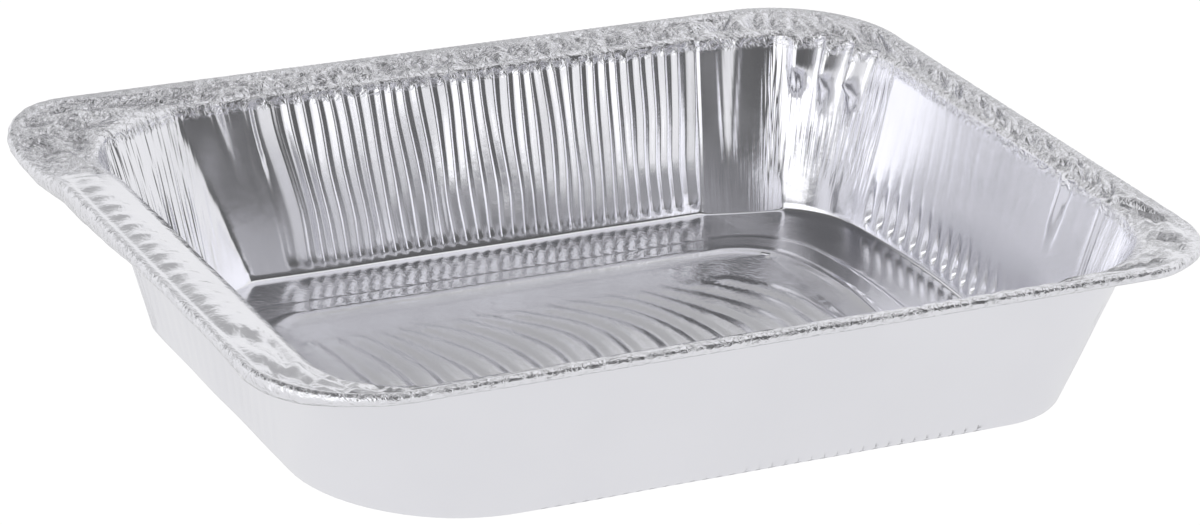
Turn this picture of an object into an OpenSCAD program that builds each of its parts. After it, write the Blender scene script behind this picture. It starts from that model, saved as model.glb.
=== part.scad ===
// Half-size deep roasting pan, pressed from one sheet of aluminium foil.
// The origin lies on the resting plane, under the middle of the rim. X runs along the pan,
// and the front is towards -Y. The opening and the base sit a little off the rim's middle,
// the right wall is pushed out at its foot, one corner of the base is pressed in and one of
// the rim is pulled out and hangs down, as by handling.

/* [Rim] */
// Length over the rim
rim_l = 323.9; // [315:0.1:335]
// Width over the rim
rim_w = 263.5; // [256:0.1:275]
// Height of the top of the rim
rim_z = 63.1; // [61.5:0.1:68]
// Corner radius of the rim's outer edge at the front left
rim_r = 40; // [30:1:48]
// Corner radius of the rim at the front right
rim_front_r = 34; // [30:1:48]
// Corner radius of the rim at the back right
rim_back_r = 44; // [30:1:48]
// Radius of the rim's back left corner, which is pulled out
pulled_r = 28; // [24:1:48]
// How far the rim hangs down at that corner
droop = 5; // [0:0.5:6]
// Height of the edge that is rolled under
curl_h = 4.2; // [3:0.1:6]
// Distance that the rolled edge turns back in
curl_w = 2.8; // [2:0.1:4]
// Rise and fall of the crimps across the flange
crimp_h = 0.8; // [0:0.1:1.2]

/* [Opening] */
// Length of the opening inside the flange
open_l = 290; // [280:0.5:296]
// Width of the opening inside the flange
open_w = 238; // [230:0.5:240]
// How far the opening sits to the right of the rim's middle
open_dx = 5; // [-5:0.5:5]
// How far the opening sits behind the rim's middle
open_dy = -3; // [-4:0.5:4]
// Height of the crease between flange and wall
open_z = 60; // [56:0.5:61]
// Radius of the opening's right corners
open_r = 47; // [40:1:50]
// Radius of the opening's back left corner
open_back_r = 40; // [30:1:48]
// Radius of the opening's front left corner
open_front_r = 30; // [24:1:44]

/* [Base] */
// Length of the flat base, between the rounded feet of the walls
base_l = 253.5; // [248:0.5:258]
// Width of the flat base
base_w = 194; // [188:0.5:200]
// How far the base sits to the right of the rim's middle
base_dx = 3; // [-2:0.5:6]
// Radius of the back corners of the base
base_r = 28; // [20:1:32]
// Radius of the front right corner of the base
front_r = 28; // [20:1:36]
// Radius of the front left corner of the base, which is pressed in
dented_r = 53; // [24:1:56]
// Radius between the base and the walls
foot_r = 3; // [2:0.5:8]
// How far the foot of the right wall is pushed out at its middle
foot_bow = 9.5; // [0:0.5:10]

/* [Flutes] */
// Number of flutes in each long wall
long_flutes = 34; // [20:1:34]
// Left end of the flutes in the long walls at their top
long_left = -74; // [-80:1:-60]
// Right end of the flutes in the long walls at their top
long_right = 96; // [80:1:98]
// How far the left end draws in towards the foot
left_draw = 9; // [6:0.5:12]
// How far the right end draws in towards the foot
right_draw = 4; // [2:0.5:8]
// Number of flutes in the right wall
right_flutes = 19; // [10:1:19]
// Number of flutes in the left wall
left_flutes = 16; // [8:1:16]
// Distance of the flutes' ends in the short walls from the middle
short_half = 68; // [60:1:68]
// Depth of the flutes in the back and right walls
flute_d = 1.4; // [0.4:0.1:2]
// Depth of the flutes in the front and left walls, which are flatter
flat_flute_d = 0.5; // [0.2:0.1:2]
// Smooth band between the flutes and the crease above them
flute_gap = 3; // [2:0.5:8]
// Length over which a flute rises at each end
flute_end = 2; // [1.5:0.5:6]
// Depth of the folds in the corners
fold_d = 1.6; // [0:0.1:2]

/* [Floor] */
// Width of the flat border that the pan rests on
border_w = 20.5; // [16:0.5:22]
// Corner radius of the panel inside the border
panel_r = 22; // [14:1:24]
// Height of the panel above the border
panel_h = 1.2; // [0.4:0.1:2]
// Width of the slope up to the panel
panel_slope = 2.5; // [1.5:0.5:4]
// Distance from the border to the middle of the panel's ring
ring_in = 13; // [10:0.5:14]
// Height of the ring on the panel
ring_h = 0.9; // [0:0.1:1.5]
// Number of ribs in the middle of the floor
ribs = 16; // [8:1:16]
// Left end of the ribbed field
ribs_left = -86; // [-86:1:-70]
// Right end of the ribbed field
ribs_right = 94; // [80:1:96]
// Half the length of the ribs
ribs_half = 43; // [36:1:44]
// Height of the ribs
rib_h = 1.1; // [0.3:0.1:1.6]
// How far the ends of the ribs bend to the left
rib_bend = 22; // [0:1:24]

/* [Sheet] */
// Thickness of the foil
sheet_t = 0.1; // [0.08:0.01:0.2]

/* [Hidden] */

function blend(a, b, f) = a + (b - a) * f;

// A station along any outline runs from 0 to 8. From an even number on it crosses a
// fluted stretch (front, right, back, left), and from an odd one the corner after it.
SIDES = 8;
flat_part = 0.2; // share of a corner's stations on the flat before its arc, and after it
plain_flat = 0.07; // station of the one point on that flat in a ring without flutes
arc_steps = 7;
flute_points = [0.1, 0.35, 0.65, 0.9]; // across one flute: valley, crest, crest, valley
crest_half = 0.2; // half the share of a flute that its crest takes
crimp_points = [0.25, 0.75]; // down and up between two points of the plain ring
flutes_of = [long_flutes, right_flutes, long_flutes, left_flutes];

// An outline is [left, right, front, back], the corner radii in the order of stations, the
// two ends of each fluted stretch, and the bow of the right side. A stretch ends at least
// short_of_arc before the arc of a corner.
short_of_arc = 3;
function box_around(dx, dy, l, w) = [dx - l / 2, dx + l / 2, dy - w / 2, dy + w / 2];
function between(ends, low, high) =
    [for (e = ends) min(max(e, low + short_of_arc), high - short_of_arc)];
function outline(box, r, long_ends, bow) = [
    box,
    r,
    [
        between(long_ends, box[0] + r[3], box[1] - r[0]),
        between([-short_half, short_half], box[2] + r[0], box[3] - r[1]),
        between([long_ends[1], long_ends[0]], box[0] + r[2], box[1] - r[1]),
        between([short_half, -short_half], box[2] + r[3], box[3] - r[2])
    ],
    bow
];
function rim_outline(inset) = outline(
    box_around(0, 0, rim_l - 2 * inset, rim_w - 2 * inset),
    [for (r = [rim_front_r, rim_back_r, pulled_r, rim_r]) r - inset], [long_left, long_right], 0
);
function open_outline() = outline(
    box_around(open_dx, open_dy, open_l, open_w), [open_r, open_r, open_back_r, open_front_r],
    [long_left, long_right], 0
);
function base_outline(out, radii) = outline(
    box_around(base_dx, 0, base_l + 2 * out, base_w + 2 * out), radii,
    [long_left + left_draw, long_right - right_draw], foot_bow
);
function foot_radii(out) = [for (r = [front_r, base_r, base_r, dented_r]) r + out];

// The walls are straight between the opening and a sharp foot beyond the flat base.
wall_tilt = atan(((open_w - base_w) / 2 - foot_r) / open_z);
foot_out = foot_r * tan((90 - wall_tilt) / 2);
foot_top = foot_r * (1 - sin(wall_tilt));
function wall_outline(z) = blend(
    base_outline(foot_out, foot_radii(foot_out)), open_outline(), z / open_z
);
function foot_outline(a) = // a is the angle round the foot, from 0 at the base
    let (out = foot_r * sin(a))
    base_outline(out, foot_radii(out));
function panel_outline(inset) =
    base_outline(-inset, [for (k = [0 : 3]) panel_r - (inset - border_w) / 2]);

// A corner: a flat from its start to the arc, the arc, and a flat to its end. Each point
// comes with the outward direction there.
function corner_point(start, end, centre, r, turn, s) =
    let (
        a = turn + 90 * min(max((s - flat_part) / (1 - 2 * flat_part), 0), 1),
        out = [cos(a), sin(a)],
        p = centre + r * out
    )
    s < flat_part ? [blend(start, p, s / flat_part), out] :
    s > 1 - flat_part ? [blend(p, end, (s - 1 + flat_part) / flat_part), out] :
    [p, out];
function side_point(box, k, at) =
    k == 0 ? [at, box[2]] : k == 1 ? [box[1], at] : k == 2 ? [at, box[3]] : [box[0], at];
function corner_centre(box, k, r) =
    k == 0 ? [box[1] - r, box[2] + r] : k == 1 ? [box[1] - r, box[3] - r] :
    k == 2 ? [box[0] + r, box[3] - r] : [box[0] + r, box[2] + r];
function outline_point(o, station) =
    let (
        k = floor(station / 2) % 4,
        s = station - floor(station),
        turn = 90 * k - 90,
        spans = o[2],
        next = (k + 1) % 4
    )
    floor(station) % 2 == 0
        ? [side_point(o[0], k, blend(spans[k][0], spans[k][1], s)), [cos(turn), sin(turn)]]
        : corner_point(
            side_point(o[0], k, spans[k][1]), side_point(o[0], next, spans[next][0]),
            corner_centre(o[0], k, o[1][k]), o[1][k], turn, s
        );

// What is right of the middle moves out by the bow, more in the back half of the side.
function bowed(o, p) =
    let (across = (2 * p[1] - o[0][2] - o[0][3]) / (o[0][3] - o[0][2]))
    [
        p[0] + o[3] * max(1 - across * across, 0) * (1 + across / 2) * max(p[0] / o[0][1], 0),
        p[1]
    ];

// How far a point at height z hangs down near the rim's back left corner. The droop fades
// out over its reach and towards the base.
droop_from = 40; // how far in front of the rim's back edge the droop is deepest
droop_reach = 40;
function hang(p, z) =
    let (far = norm([p[0] + rim_l / 2, p[1] - rim_w / 2 + droop_from]) / droop_reach)
    far < 1 ? droop * (1 - far * far) * (1 - far * far) * z / rim_z : 0;

// The stations of a ring with one point for each flute, with two, and with four.
function arc_stations(n) = [for (i = [0 : n]) blend(flat_part, 1 - flat_part, i / n)];
function corner_stations(flat, n) =
    concat(flat, arc_stations(n), [for (i = [len(flat) - 1 : -1 : 0]) 1 - flat[i]]);
function plain_ring() = [
    for (k = [0 : 3])
        each concat(
            [for (i = [0 : flutes_of[k] - 1]) 2 * k + (i + 0.5) / flutes_of[k]],
            [for (s = corner_stations([plain_flat], arc_steps)) 2 * k + 1 + s]
        )
];
function crimped_ring() =
    let (u = plain_ring(), n = len(u))
    [
        for (i = [0 : n - 1])
            let (gap = (i < n - 1 ? u[i + 1] : u[0] + SIDES) - u[i])
            each [for (c = crimp_points) u[i] + gap * c]
    ];
function fluted_ring() = [
    for (k = [0 : 3])
        each concat(
            [
                for (i = [0 : flutes_of[k] - 1])
                    for (s = flute_points) 2 * k + (i + s) / flutes_of[k]
            ],
            [for (s = corner_stations([0, flat_part / 2], 2 * arc_steps)) 2 * k + 1 + s]
        )
];
function panel_ring() = [
    for (k = [0 : 3])
        each concat(
            [for (s = k % 2 == 0 ? [0.1, 0.3, 0.5, 0.7, 0.9] : [0.2, 0.5, 0.8]) 2 * k + s],
            [for (s = arc_stations(4)) 2 * k + 1 + s]
        )
];

// How far the sheet stands in at a station: the crests and valleys of the flutes, and the
// folds that gather the sheet in the corners.
function flute_in(station) =
    let (
        k = floor(station / 2) % 4,
        s = station - 2 * k,
        n = flutes_of[k],
        depth = k == 0 || k == 3 ? flat_flute_d : flute_d
    )
    s >= 1 ? 0 : abs(s * n - floor(s * n) - 0.5) < crest_half ? depth / 2 : -depth / 2;
function fold_in(station) =
    let (
        s = station - floor(station),
        step = (s - flat_part) / (1 - 2 * flat_part) * 2 * arc_steps
    )
    floor(station) % 2 == 0 || step < -0.01 || step > 2 * arc_steps + 0.01
        ? 0
        : fold_d / 2 * cos(180 * step);

// The rings of the sheet, from the tip of the curl to the edge of the panel: stations,
// outline, height, relief (0 none, 1 flutes, 2 flutes and folds, 3 crimps), and the angle
// from outwards at which the underside lies. Outline and height are the underside's.
plain = plain_ring();
fluted = fluted_ring();
panelled = panel_ring();
flute_top = open_z - flute_gap;
curl_tip = 1; // how far the tip of the curl turns up again
curl_low = 1 / 3; // share of the curl's width at its lowest line
curl_side = 0.4; // share of its height at its outermost line
rim_edge = 1.4; // how far the top of the rim lies in from its outer edge
foot_mid = 40; // angle round the foot of the ring between its two ends
rings = [
    [plain, rim_outline(curl_w), rim_z - curl_h + curl_tip, 0, -260],
    [plain, rim_outline(curl_w * curl_low), rim_z - curl_h, 0, -240],
    [plain, rim_outline(sheet_t), rim_z - curl_h * curl_side, 0, -180],
    [plain, rim_outline(rim_edge), rim_z - sheet_t, 0, -110],
    [
        crimped_ring(), blend(rim_outline(rim_edge), open_outline(), 0.5),
        (rim_z + open_z) / 2, 3, -80
    ],
    [plain, open_outline(), open_z, 0, -45],
    [plain, wall_outline(flute_top), flute_top, 0, -wall_tilt],
    [fluted, wall_outline(flute_top - flute_end), flute_top - flute_end, 2, -wall_tilt],
    [fluted, wall_outline(foot_top + flute_end), foot_top + flute_end, 1, -wall_tilt],
    [plain, wall_outline(foot_top), foot_top, 0, -wall_tilt],
    [plain, foot_outline(foot_mid), foot_r * (1 - cos(foot_mid)), 0, foot_mid - 90],
    [plain, foot_outline(0), 0, 0, -90],
    [panelled, panel_outline(border_w), 0, 0, -90],
    [panelled, panel_outline(border_w + panel_slope), panel_h, 0, -90],
    [panelled, panel_outline(border_w + ring_in), panel_h + ring_h, 0, -90]
];
function ring_points(ring, t) = [
    for (i = [0 : len(ring[0]) - 1])
        let (
            u = ring[0][i],
            o = ring[1],
            relief = ring[3],
            at = outline_point(o, u),
            in = (relief == 1 || relief == 2 ? flute_in(u) : 0) + (relief == 2 ? fold_in(u) : 0),
            up = relief == 3 ? crimp_h * (i % 2 - 0.5) : 0,
            p = bowed(o, at[0] + at[1] * (t * cos(ring[4]) - in))
        )
        [p[0], p[1], ring[2] - hang(p, ring[2]) + up + t * sin(ring[4])]
];

// The ribbed field: three points across each rib, and rows that end the ribs and bend them.
rib_end = 0.86; // share of the half length at which a rib is still full
rows = [-1, -rib_end, -0.4, 0.4, rib_end, 1];
columns = [for (i = [0 : ribs - 1]) each [i, i + 0.3, i + 0.7], ribs];
bend_over = 60; // distance from the left end over which the bend builds up
function field_point(c, row, t) =
    let (
        x = blend(ribs_left, ribs_right, c / ribs),
        bend = rib_bend * min((x - ribs_left) / bend_over, 1) * row * row,
        crest = abs(row) <= rib_end && c != floor(c)
    )
    [x - bend, row * ribs_half, panel_h + (crest ? rib_h : 0) + t];
function field_points(t) = [for (row = rows, c = columns) field_point(c, row, t)];
wide = len(columns);
high = len(rows);
field_edge = concat(
    [for (i = [0 : wide - 1]) i],
    [for (j = [1 : high - 1]) j * wide + wide - 1],
    [for (i = [1 : wide - 1]) high * wide - 1 - i],
    [for (j = [1 : high - 2]) (high - 1 - j) * wide]
);
field_stations = concat(
    [for (i = [0 : wide - 1]) 2 * i / (wide - 1) - 0.5],
    [for (j = [1 : high - 1]) 2 * j / (high - 1) + 1.5],
    [for (i = [1 : wide - 1]) 2 * i / (wide - 1) + 3.5],
    [for (j = [1 : high - 2]) 2 * j / (high - 1) + 5.5]
);

// The triangles between two closed rings, each given by its point numbers and stations.
function later(u, i) = i + 1 < len(u) ? u[i + 1] : u[0] + SIDES;
function first_moves(ua, ub, i, j) =
    i < len(ua) && (j >= len(ub) || later(ua, i) < later(ub, j));
function stitch(a, ua, b, ub) = [
    for (
        i = 0, j = 0, first = false;
        i < len(a) || j < len(b);
        first = first_moves(ua, ub, i, j), i = i + (first ? 1 : 0), j = j + (first ? 0 : 1)
    )
        first_moves(ua, ub, i, j)
            ? [a[i % len(a)], a[(i + 1) % len(a)], b[j % len(b)]]
            : [a[i % len(a)], b[(j + 1) % len(b)], b[j % len(b)]]
];
function turned(faces) = [for (f = faces) [f[2], f[1], f[0]]];
function starts(i) = i == 0 ? 0 : starts(i - 1) + len(rings[i - 1][0]);
function numbers(start, n) = [for (i = [0 : n - 1]) start + i];
field_start = starts(len(rings));
skin_size = field_start + wide * high;

function skin_faces(start) = concat(
    [
        for (i = [0 : len(rings) - 2])
            each stitch(
                numbers(start + starts(i), len(rings[i][0])), rings[i][0],
                numbers(start + starts(i + 1), len(rings[i + 1][0])), rings[i + 1][0]
            )
    ],
    stitch(
        numbers(start + starts(len(rings) - 1), len(panelled)), panelled,
        [for (e = field_edge) start + field_start + e], field_stations
    ),
    [
        for (j = [0 : high - 2], i = [0 : wide - 2])
            let (c = start + field_start + j * wide + i)
            each [[c, c + 1, c + wide + 1], [c, c + wide + 1, c + wide]]
    ]
);
function skin_points(t) = concat([for (ring = rings) each ring_points(ring, t)], field_points(-t));

module pan() {
    top_edge = numbers(0, len(plain));
    under_edge = numbers(skin_size, len(plain));
    color([0.8, 0.8, 0.82])
        polyhedron(
            points = concat(skin_points(-sheet_t), skin_points(0)),
            faces = concat(
                turned(skin_faces(0)), skin_faces(skin_size), stitch(top_edge, plain, under_edge, plain)
            )
        );
}

pan();
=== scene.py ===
import math
import bmesh
import bpy
from mathutils import Matrix, Vector, noise


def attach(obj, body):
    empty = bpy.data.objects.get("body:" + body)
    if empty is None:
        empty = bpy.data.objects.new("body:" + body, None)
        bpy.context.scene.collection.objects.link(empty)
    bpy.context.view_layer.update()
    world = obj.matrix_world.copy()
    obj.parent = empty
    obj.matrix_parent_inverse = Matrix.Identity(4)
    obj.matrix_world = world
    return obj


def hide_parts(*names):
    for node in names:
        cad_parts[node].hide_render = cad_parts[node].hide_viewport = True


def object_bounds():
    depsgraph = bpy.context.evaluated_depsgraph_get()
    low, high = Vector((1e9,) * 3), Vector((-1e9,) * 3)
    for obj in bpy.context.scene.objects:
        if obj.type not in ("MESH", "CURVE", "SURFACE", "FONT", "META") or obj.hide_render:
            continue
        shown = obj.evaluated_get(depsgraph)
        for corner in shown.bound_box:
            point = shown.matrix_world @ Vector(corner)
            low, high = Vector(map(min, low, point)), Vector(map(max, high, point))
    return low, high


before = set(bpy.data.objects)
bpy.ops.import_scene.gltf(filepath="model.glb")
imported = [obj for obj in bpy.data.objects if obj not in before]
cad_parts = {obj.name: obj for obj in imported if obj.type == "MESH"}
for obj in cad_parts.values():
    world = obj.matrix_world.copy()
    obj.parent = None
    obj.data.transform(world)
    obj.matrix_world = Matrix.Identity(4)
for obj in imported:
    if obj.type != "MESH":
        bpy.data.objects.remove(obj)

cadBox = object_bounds()

# The pan's lengths are in millimetres, and its mesh is scaled to metres at the end. The size of
# its rim comes from the frame. Radii go round from the front right corner.
cadSize = [round((high - low) * 1000, 1) for low, high in zip(*cadBox)]
pan = dict(
    # The rim with its rolled edge, and how its back left corner droops.
    rimLength=cadSize[0], rimWidth=cadSize[1], rimHeight=cadSize[2], rimRadii=(34, 44, 28, 40),
    beadRadius=2.0, droop=5, droopFrom=40, droopReach=40,
    # The opening and the base, each with its offset from the middle of the rim.
    openLength=290, openWidth=238, openX=5, openY=-3, openHeight=60, openRadii=(47, 47, 40, 30),
    creaseRadius=2.4, baseLength=253.5, baseWidth=194, baseX=3, baseRadii=(28, 28, 28, 53),
    footRadius=1.7, footBow=9.5,
    # The ends of the fluted stretches, which draw in towards the base, and those of the flutes.
    longLeft=-74, longRight=96, leftDraw=9, rightDraw=4, shortHalf=68, shortOfArc=3,
    fluteGap=1.6, fluteFoot=3.2, fluteEnd=1.8,
    # The floor: a flat border, and a raised panel with a ring and ribs.
    borderWidth=20.5, panelRadius=22, panelHeight=1.2, panelSlope=2.5, ringIn=13, ringHeight=0.9,
    ringHalf=3.2, ribs=16, ribsLeft=-86, ribsRight=94, ribsHalf=43, ribHeight=1.1, ribBend=22,
    bendOver=60, sheet=0.1,
)
# Each side in the order front, right, back, left: its flutes, the places of the mesh's
# columns across one flute, its depth at the foot and at the top, the height where the depth at
# the foot has turned to that at the top, and how much wider some flutes are.
coarse, groove = (0, 0.3, 0.7), (0.05, 0.22, 0.28, 0.4, 0.5, 0.6, 0.72, 0.78)
ridge = (0, 0.12, 0.2, 0.32, 0.45, 0.58, 0.66, 0.72, 0.9)
sides = [
    dict(flutes=34, across=coarse, footDepth=1.9, topDepth=0.1, reach=14, wide={}),
    dict(flutes=19, across=groove, footDepth=2.2, topDepth=0.03, reach=19, wide={}),
    dict(flutes=34, across=ridge, footDepth=1.0, topDepth=1.05, reach=60, wide={0: 1.5, 33: 2}),
    dict(flutes=16, across=coarse, footDepth=0.4, topDepth=0.3, reach=60, wide={}),
]
# Columns of each corner: on the flat before its arc, along the arc, and on the flat after it.
# Each flat takes the same share of the corner's stations.
cornerColumns = [(5, 18, 9), (9, 62, 12), (22, 22, 5), (5, 18, 5)]
flatPart = 0.3
# Where the rows lie: round the rolled edge and the foot in degrees, across the flange in shares,
# and in millimetres down the wall and in from the edge of the base. From the inset alongPanel
# on, the rows of the floor follow the panel.
rowPlaces = dict(
    bead=(-20, 30, 75, 120, 160, 200, 245),
    flange=(0, 0.08, 0.18, 0.3, 0.42, 0.55, 0.68, 0.8, 0.91, 1),
    wall=(0.3, 1.3, 2.4, 3.1, 3.8, 5, 8, 12, 17, 22.5, 28, 33.5, 39, 44, 48.5, 52, 54.4, 56, 57.2),
    foot=(68, 45, 22, 0),
    floor=(1.2, 8, 14, 18.5, 20, 21.2, 22.5, 24, 29.5, 31.2, 33, 34.8, 36.5),
    alongPanel=20,
)


def mix(a, b, f):
    return a + (b - a) * f


def smooth(f):
    f = min(max(f, 0), 1)
    return f * f * (3 - 2 * f)


def ripple(x, y, z):
    return noise.noise(Vector((x, y, z)))


# Outlines run through stations 0 to 8: from an even number on a fluted stretch (front,
# right, back, left), and from an odd one the corner after it. An outline has its box (left,
# right, front, back), its radii from the front right corner round, the ends of its four fluted
# stretches, and how far its right side is bowed out.
def outlineOf(box, radii, longEnds, bow):
    def within(ends, low, high):
        gap = pan["shortOfArc"]
        return [min(max(e, low + gap), high - gap) for e in ends]

    half = pan["shortHalf"]
    spans = [
        within(longEnds, box[0] + radii[3], box[1] - radii[0]),
        within([-half, half], box[2] + radii[0], box[3] - radii[1]),
        within(longEnds[::-1], box[0] + radii[2], box[1] - radii[1]),
        within([half, -half], box[2] + radii[3], box[3] - radii[2]),
    ]
    return dict(box=box, radii=radii, spans=spans, bow=bow)


def boxAround(x, y, length, width):
    return [x - length / 2, x + length / 2, y - width / 2, y + width / 2]


def rimOutline(inset):
    return outlineOf(
        boxAround(0, 0, pan["rimLength"] - 2 * inset, pan["rimWidth"] - 2 * inset),
        [r - inset for r in pan["rimRadii"]], [pan["longLeft"], pan["longRight"]], 0)


def openOutline(out=0):
    return outlineOf(
        boxAround(pan["openX"], pan["openY"],
                  pan["openLength"] + 2 * out, pan["openWidth"] + 2 * out),
        [r + out for r in pan["openRadii"]], [pan["longLeft"], pan["longRight"]], 0)


def baseOutline(out, radii):
    return outlineOf(
        boxAround(pan["baseX"], 0, pan["baseLength"] + 2 * out, pan["baseWidth"] + 2 * out), radii,
        [pan["longLeft"] + pan["leftDraw"], pan["longRight"] - pan["rightDraw"]], pan["footBow"])


def footOutline(out):
    return baseOutline(out, [r + out for r in pan["baseRadii"]])


def panelOutline(inset):
    return baseOutline(-inset, [pan["panelRadius"] - (inset - pan["borderWidth"]) / 2] * 4)


# The outline a share of the way from one to another, mixed number by number.
def between(a, b, f):
    def lists(u, v):
        if isinstance(u, list):
            return [lists(p, q) for p, q in zip(u, v)]
        return mix(u, v, f)

    return {key: lists(a[key], b[key]) for key in a}


# The wall's lean from upright, how far out it would meet the ground, and the height where the
# curve of its foot ends.
wallTilt = math.atan(
    ((pan["openWidth"] - pan["baseWidth"]) / 2 - pan["footRadius"]) / pan["openHeight"])
footOut = pan["footRadius"] * math.tan((math.pi / 2 - wallTilt) / 2)
footTop = pan["footRadius"] * (1 - math.sin(wallTilt))


def wallOutline(z):
    return between(footOutline(footOut), openOutline(), z / pan["openHeight"])


# The point of an outline at a station, and the direction out of it there.
def outlinePoint(outline, station):
    k = int(station // 2) % 4
    following = (k + 1) % 4
    s = station - math.floor(station)
    box, spans = outline["box"], outline["spans"]

    def onSide(side, at):
        return Vector(((at, box[2]), (box[1], at), (at, box[3]), (box[0], at))[side])

    turn = math.radians(90 * k - 90)
    if math.floor(station) % 2 == 0:
        out = Vector((math.cos(turn), math.sin(turn)))
        return onSide(k, mix(spans[k][0], spans[k][1], s)), out
    r = outline["radii"][k]
    centre = Vector((box[0] + r if k > 1 else box[1] - r,
                     box[2] + r if k in (0, 3) else box[3] - r))
    a = turn + math.pi / 2 * min(max((s - flatPart) / (1 - 2 * flatPart), 0), 1)
    out = Vector((math.cos(a), math.sin(a)))
    p = centre + r * out
    if s < flatPart:
        return onSide(k, spans[k][1]).lerp(p, s / flatPart), out
    if s > 1 - flatPart:
        return p.lerp(onSide(following, spans[following][0]), (s - 1 + flatPart) / flatPart), out
    return p, out


# The foot of the right wall is bowed out, most a little behind its middle.
def bowed(outline, p):
    low, high = outline["box"][2], outline["box"][3]
    across = (2 * p.y - low - high) / (high - low)
    share = max(1 - across * across, 0) * (1 + across / 2) * max(p.x / outline["box"][1], 0)
    return Vector((p.x + outline["bow"] * share, p.y))


# How far the sheet hangs down round the back left corner.
def hang(p, z):
    far = math.hypot(p.x + pan["rimLength"] / 2, p.y - pan["rimWidth"] / 2 + pan["droopFrom"])
    far /= pan["droopReach"]
    return pan["droop"] * (1 - far * far) ** 2 * z / pan["rimHeight"] if far < 1 else 0


# The columns of the sheet: station, side, and the place across the flutes, none in a corner.
def sheetColumns():
    columns = []
    for k, side in enumerate(sides):
        widths = [side["wide"].get(i, 1) for i in range(side["flutes"])]
        for i in range(side["flutes"]):
            for across in side["across"]:
                share = (sum(widths[:i]) + widths[i] * across) / sum(widths)
                columns.append(dict(station=2 * k + share, side=k, flute=i + across))
        before, arc, after = cornerColumns[k]
        stops = [flatPart * i / before for i in range(before)]
        stops += [mix(flatPart, 1 - flatPart, i / arc) for i in range(arc)]
        stops += [1 - flatPart * (1 - i / after) for i in range(after)]
        columns += [dict(station=2 * k + 1 + stop, side=k, flute=None) for stop in stops]
    return columns


# The rows of the sheet, from the tip of the rolled edge to the middle of the floor.
def sheetRows():
    rows = []
    r, toPanel = pan["beadRadius"], rowPlaces["alongPanel"]
    for angle in rowPlaces["bead"]:
        a = math.radians(-angle)
        rows.append(dict(kind="bead", outline=rimOutline(r + r * math.cos(a)),
                         z=pan["rimHeight"] - r + r * math.sin(a), f=0))
    edge, crease = rimOutline(flange["edgeIn"] * r), openOutline(pan["creaseRadius"])
    for f in rowPlaces["flange"]:
        dip = mix(flange["edgeDip"], flange["dip"], smooth(f * 3))
        rows.append(dict(kind="flange", outline=between(edge, crease, f), f=f,
                         z=mix(pan["rimHeight"] - dip, pan["openHeight"] + flange["creaseUp"], f)))
    for drop in rowPlaces["wall"]:
        z = pan["openHeight"] - drop
        rows.append(dict(kind="wall", outline=wallOutline(z), z=z, f=0))
    for angle in rowPlaces["foot"]:
        a = math.radians(angle)
        rows.append(dict(kind="foot", outline=footOutline(pan["footRadius"] * math.sin(a)),
                         z=pan["footRadius"] * (1 - math.cos(a)), f=0))
    for inset in rowPlaces["floor"]:
        if inset < toPanel:
            outline = between(footOutline(0), panelOutline(toPanel), inset / toPanel)
        else:
            outline = panelOutline(inset)
        rows.append(dict(kind="floor", outline=outline, z=floorRise(inset), f=inset / toPanel))
    return rows


# The floor rises from its border to the panel, which has a ring near its edge.
def floorRise(inset):
    onPanel = smooth((inset - pan["borderWidth"]) / pan["panelSlope"])
    fromRing = abs(inset - pan["borderWidth"] - pan["ringIn"]) / pan["ringHalf"]
    ring = math.cos(math.pi / 2 * fromRing) ** 2 if fromRing < 1 else 0
    return onPanel * pan["panelHeight"] + pan["ringHeight"] * ring


# A flute is a ridge with a short flank, a long one and a flat valley, in shares of its width,
# and the wall itself lies a share of its depth above the valley. A flute twice as wide is nearly
# half as deep again. Those of the front wall begin at its very foot.
ridged = dict(shortFlank=0.12, valley=0.36, valleyChange=0.12, wallAt=0.35, wideDepth=0.45,
              endChange=0.7, frontFoot=0.3)
# The right wall has narrow grooves instead. They run out above its foot, highest at one of them
# and lower by so much with each groove away from it.
grooved = dict(halfWidth=0.26, highest=15, lower=0.45, endChange=3, runOut=9)


def fluteShape(column, z):
    side = sides[column["side"]]
    number = math.floor(column["flute"])
    across = column["flute"] - number
    uneven = ripple(number * 0.7, 3, 11)
    foot = ridged["frontFoot"] if column["side"] == 0 else pan["fluteFoot"]
    top = pan["openHeight"] - pan["fluteGap"]
    low = smooth((z - foot) / pan["fluteEnd"])
    high = smooth((top - z + ridged["endChange"] * uneven) / pan["fluteEnd"])
    if column["side"] == 1:
        reach = side["reach"] - grooved["lower"] * abs(number - grooved["highest"])
        reach += grooved["endChange"] * uneven
        gone = smooth((z - reach + grooved["runOut"]) / grooved["runOut"])
        depth = mix(side["footDepth"], side["topDepth"], gone)
        return -depth * low * high * max(1 - abs(across - 0.5) / grooved["halfWidth"], 0)
    valley = ridged["valley"] + ridged["valleyChange"] * ripple(number * 1.3, z * 0.02, 5)
    flank = ridged["shortFlank"]
    if across < flank:
        crest = across / flank
    else:
        crest = max(1 - (across - flank) / (1 - valley - flank), 0)
    depth = mix(side["footDepth"], side["topDepth"], smooth(z / side["reach"]))
    depth *= 1 - ridged["wideDepth"] + ridged["wideDepth"] * side["wide"].get(number, 1)
    return depth * low * high * (crest - ridged["wallAt"])


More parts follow.
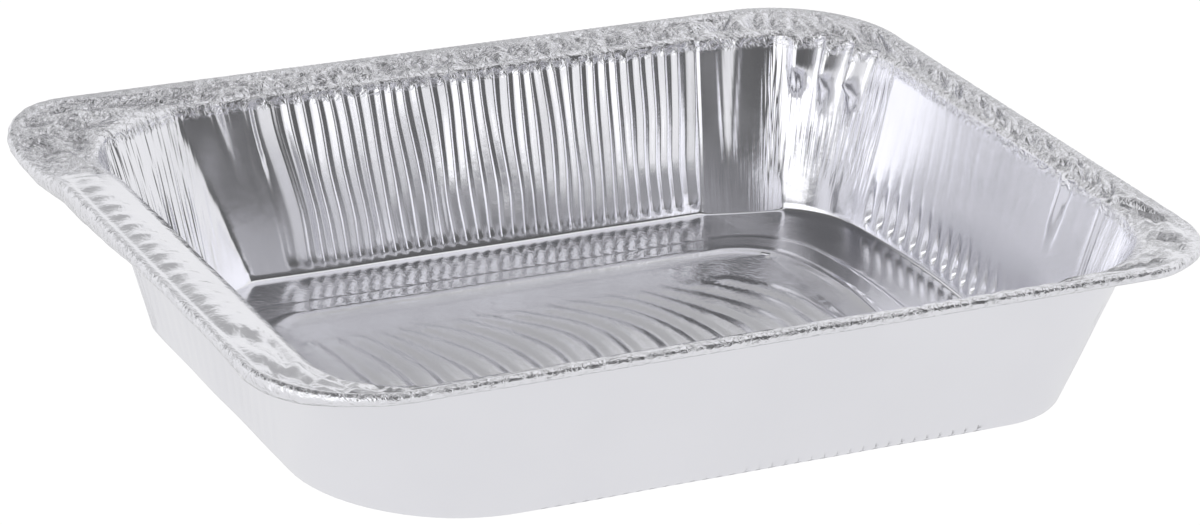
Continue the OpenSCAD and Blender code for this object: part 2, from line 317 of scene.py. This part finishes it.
# Folds of the corners, the first three pushed in at the top of the back right one. Each runs
# between two stations at its top and two at its bottom, as the sheet leans in over its width and
# turns back sharply; the depth is negative where it leans in towards its first station. A fold
# with a dent also leans in to its bottom.
folds = [
    dict(top=(3.485, 3.535), bottom=(3.49, 3.53), z=(59, 44), depth=6, dent=2.8),
    dict(top=(3.425, 3.465), bottom=(3.44, 3.47), z=(59, 42), depth=7, dent=4.5),
    dict(top=(3.365, 3.4), bottom=(3.38, 3.405), z=(59, 42), depth=7.5, dent=5),
    dict(top=(3.655, 3.69), bottom=(3.68, 3.7), z=(59, 20), depth=-1.2),
    dict(top=(3.305, 3.32), bottom=(3.18, 3.195), z=(58, 18), depth=0.6),
    dict(top=(2.14, 2.175), bottom=(2.15, 2.18), z=(58, 37), depth=1.8),
    dict(top=(5.115, 5.17), bottom=(5.085, 5.09), z=(61, 32), depth=-2.0),
    dict(top=(5.012, 5.035), bottom=(5.05, 5.06), z=(57, 34), depth=-0.8),
    dict(top=(5.03, 5.045), bottom=(5.03, 5.04), z=(38, 26), depth=-0.8),
    dict(top=(1.86, 1.97), bottom=(1.9, 1.99), z=(58, 26), depth=1.6),
    dict(top=(1.7, 1.76), bottom=(1.7, 1.74), z=(58, 34), depth=-1.0),
]
pushedIn = folds[:3]
# A fold comes in over a fifth of its length above its top, goes out over its last sixth, and
# turns back over this share of its width on either side.
turnBack = 0.35


def foldShape(station, z):
    inward = 0
    for fold in folds:
        high, low = fold["z"]
        down = (high - z) / (high - low)
        if not -0.2 < down < 1:
            continue
        (topStart, topEnd), (lowStart, lowEnd) = fold["top"], fold["bottom"]
        start = mix(topStart, lowStart, max(down, 0))
        end = mix(topEnd, lowEnd, max(down, 0))
        back = turnBack * (end - start)
        if not start - back < station < end + back:
            continue
        if station < start:
            lean = -(station - start + back) / back
        elif station > end:
            lean = (end + back - station) / back
        else:
            lean = 2 * (station - start) / (end - start) - 1
        comeIn, goOut = smooth((down + 0.2) * 5), smooth((1 - down) * 6)
        widest = max(topEnd - topStart, lowEnd - lowStart)
        share = (end - start) / widest * goOut * comeIn
        inward += 0.5 * fold["depth"] * lean * share
        beside = min((station - start) / back, (end - station) / back, 0)
        inward += fold.get("dent", 0) * max(down, 0) * goOut * (1 + beside)
    return inward


# The ends of the back wall are bent to flat facets behind straight folds. Each facet, by the
# side before its corner, has the place of its fold at the top and at the bottom, across and
# back, and its turn there in degrees.
facets = {
    2: dict(top=(-103, 115), bottom=(-79, 98), turn=(27, 27)),
    1: dict(top=(92, 115.5), bottom=(90, 98.5), turn=(-8, -13)),
}


# How far a point of the wall moves to the front, onto its facet. Beyond the fold it stays.
def facetShape(side, p, z):
    if side not in facets:
        return 0
    facet, f = facets[side], z / pan["openHeight"]
    along = p.x - mix(facet["bottom"][0], facet["top"][0], f)
    turn = mix(facet["turn"][1], facet["turn"][0], f)
    if along * turn > 0:
        return 0
    plane = mix(facet["bottom"][1], facet["top"][1], f) + along * math.tan(math.radians(turn))
    return max(p.y - plane, 0)


# Loose waves of the corners: their depth, less in the back left one, the height over which they
# grow, the share of a corner over which they go out at either end, and the station where the
# right facet ends them. They are less deep around the folds that are pushed in.
loose = dict(depth=0.9, leftDepth=0.35, low=6, growth=40, ends=0.1, facetAt=3.62)
aroundFolds = dict(start=3.36, end=3.54, low=42, share=0.3)


def cornerShape(column, z):
    around = column["station"]
    s = around % 1
    rise = smooth((z - loose["low"]) / loose["growth"])
    wave = ripple(around * 7, z * 0.012, 3.3) + 0.5 * ripple(around * 19 + z * 0.03, z * 0.02, 8.1)
    ends = smooth(s / loose["ends"]) * smooth((1 - s) / loose["ends"])
    if column["side"] == 2:
        share = loose["leftDepth"]
    else:
        share = loose["depth"] * smooth((loose["facetAt"] - around) / 0.04)
    if aroundFolds["start"] < around < aroundFolds["end"] and z > aroundFolds["low"]:
        share *= aroundFolds["share"]
    return ends * rise * share * wave + foldShape(around, z)


# The flange begins a little in from the bead, dips below the top of the rim and ends at the
# crease over the wall. It has long folds that fan out in the front right corner, slanting waves
# on the right, crumpled foil with two lengthwise folds at the back, and soft pillows between
# crimps on the left, with a ridge along the crease. Above a height near the top of the rim it is
# pressed flat.
flange = dict(
    edgeIn=1.9, edgeDip=1.0, dip=0.5, creaseUp=0.4,
    fanPitch=8.5, fanHeight=2.2, fanCrumple=1.2, slantHeight=3.2, slantCrumple=0.5,
    crumple=2.4, foldHeight=0.7, pillowPitch=8.6, pillowHeight=1.3, frontPillow=0.3,
    pillowCrumple=0.15, ridgeHeight=0.5, flatFrom=0.8, flatOver=0.6,
)


def crumple(p):
    return ripple(p.x * 0.16, p.y * 0.16, 5) + 0.6 * ripple(p.x * 0.4, p.y * 0.4, 9)


def fanFolds(f, p, along):
    phase = (along + 0.8 * ripple(along * 0.1, f, 7)) / flange["fanPitch"]
    wave = abs(math.sin(math.pi * phase)) ** 0.7
    return flange["fanHeight"] * (wave - 0.5) + flange["fanCrumple"] * crumple(p)


def slantWaves(f, p, along):
    wave = ripple((along + 7 * f) * 0.16, f * 0.8, 7) + 0.5 * ripple((along + 9 * f) * 0.36, f, 4)
    return flange["slantHeight"] * wave + flange["slantCrumple"] * crumple(p)


def lengthwiseFolds(f, along):
    outer = (f - 0.22 - 0.1 * ripple(along * 0.02, 0, 3)) / 0.07
    inner = (f - 0.72 - 0.15 * ripple(along * 0.03, 0, 8)) / 0.06
    return flange["foldHeight"] * (math.exp(-outer ** 2) + math.exp(-inner ** 2))


def pillows(height, f, p, along):
    phase = (along + 1.5 * f + 1.5 * ripple(along * 0.07, f, 7)) / flange["pillowPitch"]
    wave = height * smooth((0.85 - f) / 0.25) * abs(math.sin(math.pi * phase)) ** 0.6
    return wave - 0.2 + flange["pillowCrumple"] * crumple(p)


# How far the flange rises at a share of the way from the bead to the crease, where its waves go
# out towards both.
def flangeShape(column, f, p, along):
    side, corner = column["side"], column["flute"] is None
    if side == 0 and corner:
        return smooth(f / 0.2) * smooth((1 - f) / 0.1) * fanFolds(f, p, along)
    span = smooth(f / (0.35 if side == 3 and not corner else 0.15)) * smooth((1 - f) / 0.12)
    if side == 1:
        return span * slantWaves(f, p, along)
    if side == 2:
        return span * (flange["crumple"] * crumple(p) + lengthwiseFolds(f, along))
    if corner:
        return span * (flange["crumple"] * crumple(p))
    height = flange["pillowHeight"] if side == 3 else flange["frontPillow"]
    ridge = flange["ridgeHeight"] * math.exp(-((f - 0.86) / 0.07) ** 2)
    return span * pillows(height, f, p, along) + ridge


# The rolled edge is finely knurled, and hangs lower at two places of the left side.
bead = dict(knurlDepth=0.15, knurlPitch=2.6, sagFrom=135, sagOver=20,
            sags=[dict(y=45, reach=45, drop=3.2), dict(y=-105, reach=30, drop=1.8)])


def sag(p):
    left = smooth((-p.x - bead["sagFrom"]) / bead["sagOver"])
    return left * sum(s["drop"] * math.exp(-((p.y - s["y"]) / s["reach"]) ** 2)
                      for s in bead["sags"])


# How strongly the fine crinkles show: on the flange by side and in its front right corner, on
# the bead, at the top of the wall from a height on, and faintly on the floor, where they grow
# towards the back.
crinkled = dict(flange=(0.5, 0.8, 1, 0.1), rightCorner=0.35, bead=0.6, wallTop=0.7, wallFrom=55,
                floor=0.03, floorBack=0.08, panel=0.04, panelBack=0.08)


# Fine creases cross each other in the corners, fully in the back right one beside the facet and
# hardly on its pushed-in folds.
def gathered(station, z):
    high = smooth((z - 8) / 20)
    if 3 < station < 4:
        for fold in pushedIn:
            if fold["top"][0] < station < fold["top"][1] and z > fold["z"][1]:
                return 0.1
        return high * smooth((station - 3.12) / 0.1) * smooth((3.61 - station) / 0.03)
    if 5.2 < station < 6:
        return 0.5 * smooth((station - 5.2) / 0.1)
    return 0.25 * high if 1 < station < 2 else 0


# Lengths for the sheet's own map: along the rim at each column, and down from the tip of the
# rolled edge at each row.
def lengthsAlong(columns):
    middle = openOutline(8)
    stations = [column["station"] for column in columns]
    previous, lengths, total = outlinePoint(middle, 0)[0], [], 0
    for station in stations + [0]:
        point = outlinePoint(middle, station)[0]
        total += (point - previous).length
        lengths.append(total)
        previous = point
    return lengths


def lengthsDown(rows):
    lengths = [0]
    for row, last in zip(rows[1:], rows):
        here, there = (outlinePoint(r["outline"], 4.5)[0] for r in (row, last))
        lengths.append(lengths[-1] + math.hypot((here - there).length, row["z"] - last["z"]))
    return lengths


# How far the flutes wander sideways as they rise, and how uneven the wall and the floor are.
wander = dict(flutes=2, growth=20, wall=0.5, floor=0.12)


def floorWave(x, y):
    return wander["floor"] * ripple(x * 0.05, y * 0.05, 2)


# Where a point of the sheet is pressed to, and how much it is crinkled and gathered there.
def pressPoint(column, row, along):
    side, corner = column["side"], column["flute"] is None
    kind, z = row["kind"], row["z"]
    point, out = outlinePoint(row["outline"], column["station"])
    inward, up, slide, forward, crinkle, gather = 0, 0, 0, 0, 0, 0
    if kind in ("wall", "foot"):
        if corner:
            inward = cornerShape(column, z)
            forward = facetShape(side, point, z)
            gather = gathered(column["station"], z)
        else:
            inward = fluteShape(column, z) + foldShape(column["station"], z)
            slide = wander["flutes"] * ripple(column["flute"] * 0.3, z * 0.03, 40 + side)
            slide *= smooth((z - footTop) / wander["growth"])
        inward += wander["wall"] * ripple(point.x * 0.03, point.y * 0.03, z * 0.03)
        if z > crinkled["wallFrom"]:
            crinkle = crinkled["wallTop"] * smooth((z - crinkled["wallFrom"] + 1) / 4)
    elif kind == "flange":
        up = flangeShape(column, row["f"], point, along)
        crinkle = crinkled["rightCorner"] if side == 0 and corner else crinkled["flange"][side]
    elif kind == "bead":
        inward = bead["knurlDepth"] * (1 + math.sin(2 * math.pi * along / bead["knurlPitch"]))
        up = -sag(point) * smooth((pan["rimHeight"] - 1 - z) / 3)
        crinkle = crinkled["bead"]
    elif kind == "floor":
        up = smooth(z / pan["panelHeight"]) * floorWave(point.x, point.y)
        crinkle = crinkled["floorBack" if side == 2 else "floor"]
        if corner and row["f"] < 1:
            foot = outlinePoint(footOutline(0), column["station"])[0]
            forward = facetShape(side, foot, 0) * (1 - row["f"])
    p = bowed(row["outline"], point - out * inward + Vector((-out.y, out.x)) * slide)
    z = max(z - hang(p, z) + up, 0)
    over = z - pan["rimHeight"] + flange["flatFrom"]
    if kind == "flange" and over > 0:
        z += flange["flatOver"] * math.tanh(over / flange["flatOver"]) - over
    return Vector((p.x, p.y - forward, z)), crinkle, gather


def pressSheet():
    columns, rows = sheetColumns(), sheetRows()
    along, down = lengthsAlong(columns), lengthsDown(rows)
    bm = bmesh.new()
    bmesh.ops.create_grid(bm, x_segments=len(columns), y_segments=len(rows) - 1, size=1)
    crinkle, gather = (bm.verts.layers.float.new(name) for name in ("crinkle", "gather"))
    lay = bm.loops.layers.uv.new("lay")

    def numbersOf(v):
        return (round((v.co.x + 1) / 2 * len(columns)),
                round((1 - v.co.y) / 2 * (len(rows) - 1)))

    for face in bm.faces:
        for loop in face.loops:
            c, r = numbersOf(loop.vert)
            loop[lay].uv = (along[c] * 0.001, down[r] * 0.001)
    for v in bm.verts:
        c, r = numbersOf(v)
        c %= len(columns)
        v.co, v[crinkle], v[gather] = pressPoint(columns[c], rows[r], along[c])
    bmesh.ops.remove_doubles(bm, verts=bm.verts[:], dist=0.001)
    print("walls and rim pressed:", len(rows), "rows,", len(columns), "columns")
    return bm


# The ribs bend back at their ends, more towards the right, so the place that a point had on the
# straight rib is found in a few steps. Each rib has a second, lower crest.
def ribRise(x, y):
    row = y / pan["ribsHalf"]
    straight = x
    for step in range(3):
        lean = min(max((straight - pan["ribsLeft"]) / pan["bendOver"], 0), 1)
        straight = x + pan["ribBend"] * lean * row * row
    place = (straight - pan["ribsLeft"]) / (pan["ribsRight"] - pan["ribsLeft"]) * pan["ribs"]
    if not 0 < place < pan["ribs"] or abs(row) > 1:
        return 0
    wave = 2 * math.pi * (place + 0.25 * ripple(x * 0.05, y * 0.03, 6))
    crest = 0.5 - 0.32 * math.cos(wave) - 0.18 * math.cos(2 * wave + 0.8)
    return pan["ribHeight"] * crest * smooth((1 - abs(row)) / 0.12)


# The middle of the panel is a grid, joined to the lower of the sheet's two open edges.
panelGrid = dict(left=-83, right=95, half=55, columns=112, rows=52)


def addFloor(bm):
    middle = pan["rimHeight"] / 2
    sheetEdges = [e for e in bm.edges if len(e.link_faces) == 1 and e.verts[0].co.z < middle]
    grid = set(bmesh.ops.create_grid(
        bm, x_segments=panelGrid["columns"], y_segments=panelGrid["rows"], size=1)["verts"])
    crinkle = bm.verts.layers.float["crinkle"]
    for v in grid:
        x = mix(panelGrid["left"], panelGrid["right"], (v.co.x + 1) / 2)
        y = v.co.y * panelGrid["half"]
        rise = ribRise(x, y) + floorWave(x, y)
        v.co = Vector((x, y, pan["panelHeight"] + rise))
        v[crinkle] = crinkled["panel"] + crinkled["panelBack"] * smooth((y - 15) / 20)
    gridEdges = [e for e in bm.edges if len(e.link_faces) == 1 and e.verts[0] in grid]
    bmesh.ops.bridge_loops(bm, edges=sheetEdges + gridEdges)
    print("floor laid and joined")


def makePan():
    bm = pressSheet()
    addFloor(bm)
    # The faces look into the pan, where the sheet's thickness is added.
    bmesh.ops.recalc_face_normals(bm, faces=bm.faces[:])
    middle = min(bm.faces, key=lambda face: face.calc_center_median().length)
    if middle.normal.z < 0:
        bmesh.ops.reverse_faces(bm, faces=bm.faces[:])
    bmesh.ops.scale(bm, vec=(0.001, 0.001, 0.001), verts=bm.verts[:])
    mesh = bpy.data.meshes.new("foilPan")
    bm.to_mesh(mesh)
    bm.free()
    for face in mesh.polygons:
        face.use_smooth = True
    piece = bpy.data.objects.new("foilPan", mesh)
    bpy.context.scene.collection.objects.link(piece)
    skin = piece.modifiers.new("sheet", "SOLIDIFY")
    skin.thickness = pan["sheet"] * 0.001
    skin.offset = 1
    print("pan:", len(mesh.polygons), "faces in one skin")
    return piece


# The foil's two roughnesses, and the heights of its bumps in metres: fine streaks down the
# sheet, dimples, the crinkles, and the crossing creases of the gathered corners.
foil = dict(colour=(0.87, 0.87, 0.91, 1), roughness=(0.12, 0.24), streaks=0.00003,
            dimples=0.00003, crinkles=0.0014, gathers=0.0007, gatherTurns=(14, -17))


def foilMaterial():
    material = bpy.data.materials.new("brightFoil")
    material.use_nodes = True
    nodes, links = material.node_tree.nodes, material.node_tree.links
    shader = nodes["Principled BSDF"]
    shader.inputs["Metallic"].default_value = 1
    shader.inputs["Base Color"].default_value = foil["colour"]
    place = nodes.new("ShaderNodeTexCoord").outputs["Object"]
    lay = nodes.new("ShaderNodeUVMap")
    lay.uv_map = "lay"

    def grain(scale, detail, source=place, stretch=(1, 1, 1), turn=0, distortion=0):
        mapping = nodes.new("ShaderNodeMapping")
        mapping.inputs["Scale"].default_value = stretch
        mapping.inputs["Rotation"].default_value = (0, 0, math.radians(turn))
        links.new(source, mapping.inputs["Vector"])
        texture = nodes.new("ShaderNodeTexNoise")
        texture.inputs["Scale"].default_value = scale
        texture.inputs["Detail"].default_value = detail
        texture.inputs["Distortion"].default_value = distortion
        links.new(mapping.outputs["Vector"], texture.inputs["Vector"])
        return texture.outputs["Fac"]

    def attribute(name):
        node = nodes.new("ShaderNodeAttribute")
        node.attribute_name = name
        return node.outputs["Fac"]

    def bump(height, distance, under=None, strength=None):
        node = nodes.new("ShaderNodeBump")
        node.inputs["Distance"].default_value = distance
        links.new(height, node.inputs["Height"])
        if under:
            links.new(under, node.inputs["Normal"])
        if strength:
            links.new(strength, node.inputs["Strength"])
        return node.outputs["Normal"]

    onSheet = lay.outputs["UV"]
    surface = bump(grain(1, 2, onSheet, (700, 45, 1)), foil["streaks"])
    surface = bump(grain(240, 3), foil["dimples"], surface)
    surface = bump(grain(300, 4, distortion=1.5), foil["crinkles"], surface, attribute("crinkle"))
    gather = attribute("gather")
    for turn in foil["gatherTurns"]:
        creases = grain(1, 1, onSheet, (420, 32, 1), turn)
        surface = bump(creases, foil["gathers"], surface, gather)
    links.new(surface, shader.inputs["Normal"])
    # Handled foil is a little duller in patches.
    dull = nodes.new("ShaderNodeMapRange")
    dull.inputs["From Min"].default_value = 0.35
    dull.inputs["From Max"].default_value = 0.65
    dull.inputs["To Min"].default_value, dull.inputs["To Max"].default_value = foil["roughness"]
    links.new(grain(22, 2), dull.inputs["Value"])
    links.new(dull.outputs["Result"], shader.inputs["Roughness"])
    return material


foilPan = makePan()
foilPan.data.materials.append(foilMaterial())
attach(foilPan, "root")
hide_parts("pan")

# The white studio: the floor's size and how far it lies under the pan in metres, how much of a
# shadow it takes, its levels as the camera sees it and as the foil mirrors it, and the level of
# the room around.
studio = dict(floorSize=6, floorUnder=0.0003, shadow=0.12, seen=1.1, mirrored=0.88,
              backdrop=0.92)

# Three dark parts of the room, which the foil mirrors: the direction of each, its level, and the
# angles from its middle between which it turns to the level of the backdrop.
darkParts = [
    dict(towards=(0.414, -0.779, 0.469), level=0.12, edge=(28, 36)),
    dict(towards=(0.1923, 0.7178, 0.6691), level=0.5, edge=(13, 21)),
    dict(towards=(-0.3971, 0.1445, 0.9063), level=0.15, edge=(22, 45)),
]


def makeFloor():
    bm = bmesh.new()
    bmesh.ops.create_grid(bm, x_segments=1, y_segments=1, size=studio["floorSize"] / 2)
    bmesh.ops.translate(bm, vec=(0, 0, -studio["floorUnder"]), verts=bm.verts[:])
    mesh = bpy.data.meshes.new("studioFloor")
    bm.to_mesh(mesh)
    bm.free()
    floor = bpy.data.objects.new("studioFloor", mesh)
    bpy.context.scene.collection.objects.link(floor)
    material = bpy.data.materials.new("paleFloor")
    material.use_nodes = True
    nodes, links = material.node_tree.nodes, material.node_tree.links
    nodes.remove(nodes["Principled BSDF"])
    matt = nodes.new("ShaderNodeBsdfDiffuse")
    matt.inputs["Color"].default_value = (0.9, 0.9, 0.9, 1)
    white = nodes.new("ShaderNodeEmission")
    rays = nodes.new("ShaderNodeLightPath")
    level = nodes.new("ShaderNodeMix")
    level.inputs["A"].default_value = studio["mirrored"]
    level.inputs["B"].default_value = studio["seen"]
    links.new(rays.outputs["Is Camera Ray"], level.inputs["Factor"])
    links.new(level.outputs["Result"], white.inputs["Strength"])
    # The camera and the foil see the white, and other light falls on the matt floor.
    seen = nodes.new("ShaderNodeMath")
    seen.operation = "MAXIMUM"
    links.new(rays.outputs["Is Camera Ray"], seen.inputs[0])
    links.new(rays.outputs["Is Glossy Ray"], seen.inputs[1])
    share = nodes.new("ShaderNodeMath")
    share.operation = "MULTIPLY"
    share.inputs[1].default_value = 1 - studio["shadow"]
    links.new(seen.outputs[0], share.inputs[0])
    blend = nodes.new("ShaderNodeMixShader")
    links.new(share.outputs[0], blend.inputs[0])
    links.new(matt.outputs[0], blend.inputs[1])
    links.new(white.outputs[0], blend.inputs[2])
    links.new(blend.outputs[0], nodes["Material Output"].inputs["Surface"])
    floor.data.materials.append(material)


def makeWorld():
    world = bpy.data.worlds.new("studioLight")
    bpy.context.scene.world = world
    world.use_nodes = True
    nodes, links = world.node_tree.nodes, world.node_tree.links
    back = nodes["Background"]
    place = nodes.new("ShaderNodeTexCoord")
    level = None
    for part in darkParts:
        towards = nodes.new("ShaderNodeVectorMath")
        towards.operation = "DOT_PRODUCT"
        towards.inputs[1].default_value = part["towards"]
        links.new(place.outputs["Generated"], towards.inputs[0])
        room = nodes.new("ShaderNodeMapRange")
        room.interpolation_type = "SMOOTHSTEP"
        inner, outer = (math.cos(math.radians(a)) for a in part["edge"])
        room.inputs["From Min"].default_value = outer
        room.inputs["From Max"].default_value = inner
        room.inputs["To Min"].default_value = 1 if level else studio["backdrop"]
        room.inputs["To Max"].default_value = part["level"]
        links.new(towards.outputs["Value"], room.inputs["Value"])
        if level:
            both = nodes.new("ShaderNodeMath")
            both.operation = "MULTIPLY"
            links.new(level, both.inputs[0])
            links.new(room.outputs["Result"], both.inputs[1])
            level = both.outputs["Value"]
        else:
            level = room.outputs["Result"]
    # The camera itself sees plain white.
    rays = nodes.new("ShaderNodeLightPath")
    strength = nodes.new("ShaderNodeMix")
    links.new(rays.outputs["Is Camera Ray"], strength.inputs["Factor"])
    links.new(level, strength.inputs["A"])
    strength.inputs["B"].default_value = 1
    links.new(strength.outputs["Result"], back.inputs["Strength"])
    back.inputs["Color"].default_value = (1, 1, 1, 1)


# A softbox: where it stands, its two sides in metres, and its power in watts.
softbox = dict(at=(-1.35, -1.05, 0.5), size=(2.2, 1.2), power=4)


def makeLamp():
    light = bpy.data.lights.new("leftBox", "AREA")
    light.shape = "RECTANGLE"
    light.size, light.size_y = softbox["size"]
    light.energy = softbox["power"]
    lamp = bpy.data.objects.new("leftBox", light)
    lamp.location = softbox["at"]
    lamp.rotation_mode = "QUATERNION"
    lamp.rotation_quaternion = (-Vector(softbox["at"])).to_track_quat("-Z", "Y")
    bpy.context.scene.collection.objects.link(lamp)


# The camera of the photograph: degrees, and distances in metres. Its focal length is in pixels
# of the photograph, and its sensor in millimetres.
cameraPlace = dict(azimuth=-27.15, elevation=22.55, roll=2.31, distance=1.47084,
                   across=0.0034, up=0.03115, focalPixels=4483.11, widthPixels=1200, sensor=36)


def makeCamera():
    data = bpy.data.cameras.new("studioCamera")
    data.sensor_width = cameraPlace["sensor"]
    data.lens = cameraPlace["focalPixels"] / cameraPlace["widthPixels"] * cameraPlace["sensor"]
    data.dof.use_dof = False
    camera = bpy.data.objects.new("studioCamera", data)
    a, e, roll = (math.radians(cameraPlace[key]) for key in ("azimuth", "elevation", "roll"))
    back = Vector((math.sin(a) * math.cos(e), -math.cos(a) * math.cos(e), math.sin(e)))
    level = (-back).cross(Vector((0, 0, 1))).normalized()
    upright = level.cross(-back)
    right = level * math.cos(roll) + upright * math.sin(roll)
    up = upright * math.cos(roll) - level * math.sin(roll)
    turn = Matrix((right, up, back)).transposed().to_4x4()
    spot = back * cameraPlace["distance"] + right * cameraPlace["across"] + up * cameraPlace["up"]
    camera.matrix_world = Matrix.Translation(spot) @ turn
    bpy.context.scene.collection.objects.link(camera)
    bpy.context.scene.camera = camera


makeFloor()
makeWorld()
makeLamp()
makeCamera()
bpy.context.scene.view_settings.view_transform = "Standard"
print("studio ready")
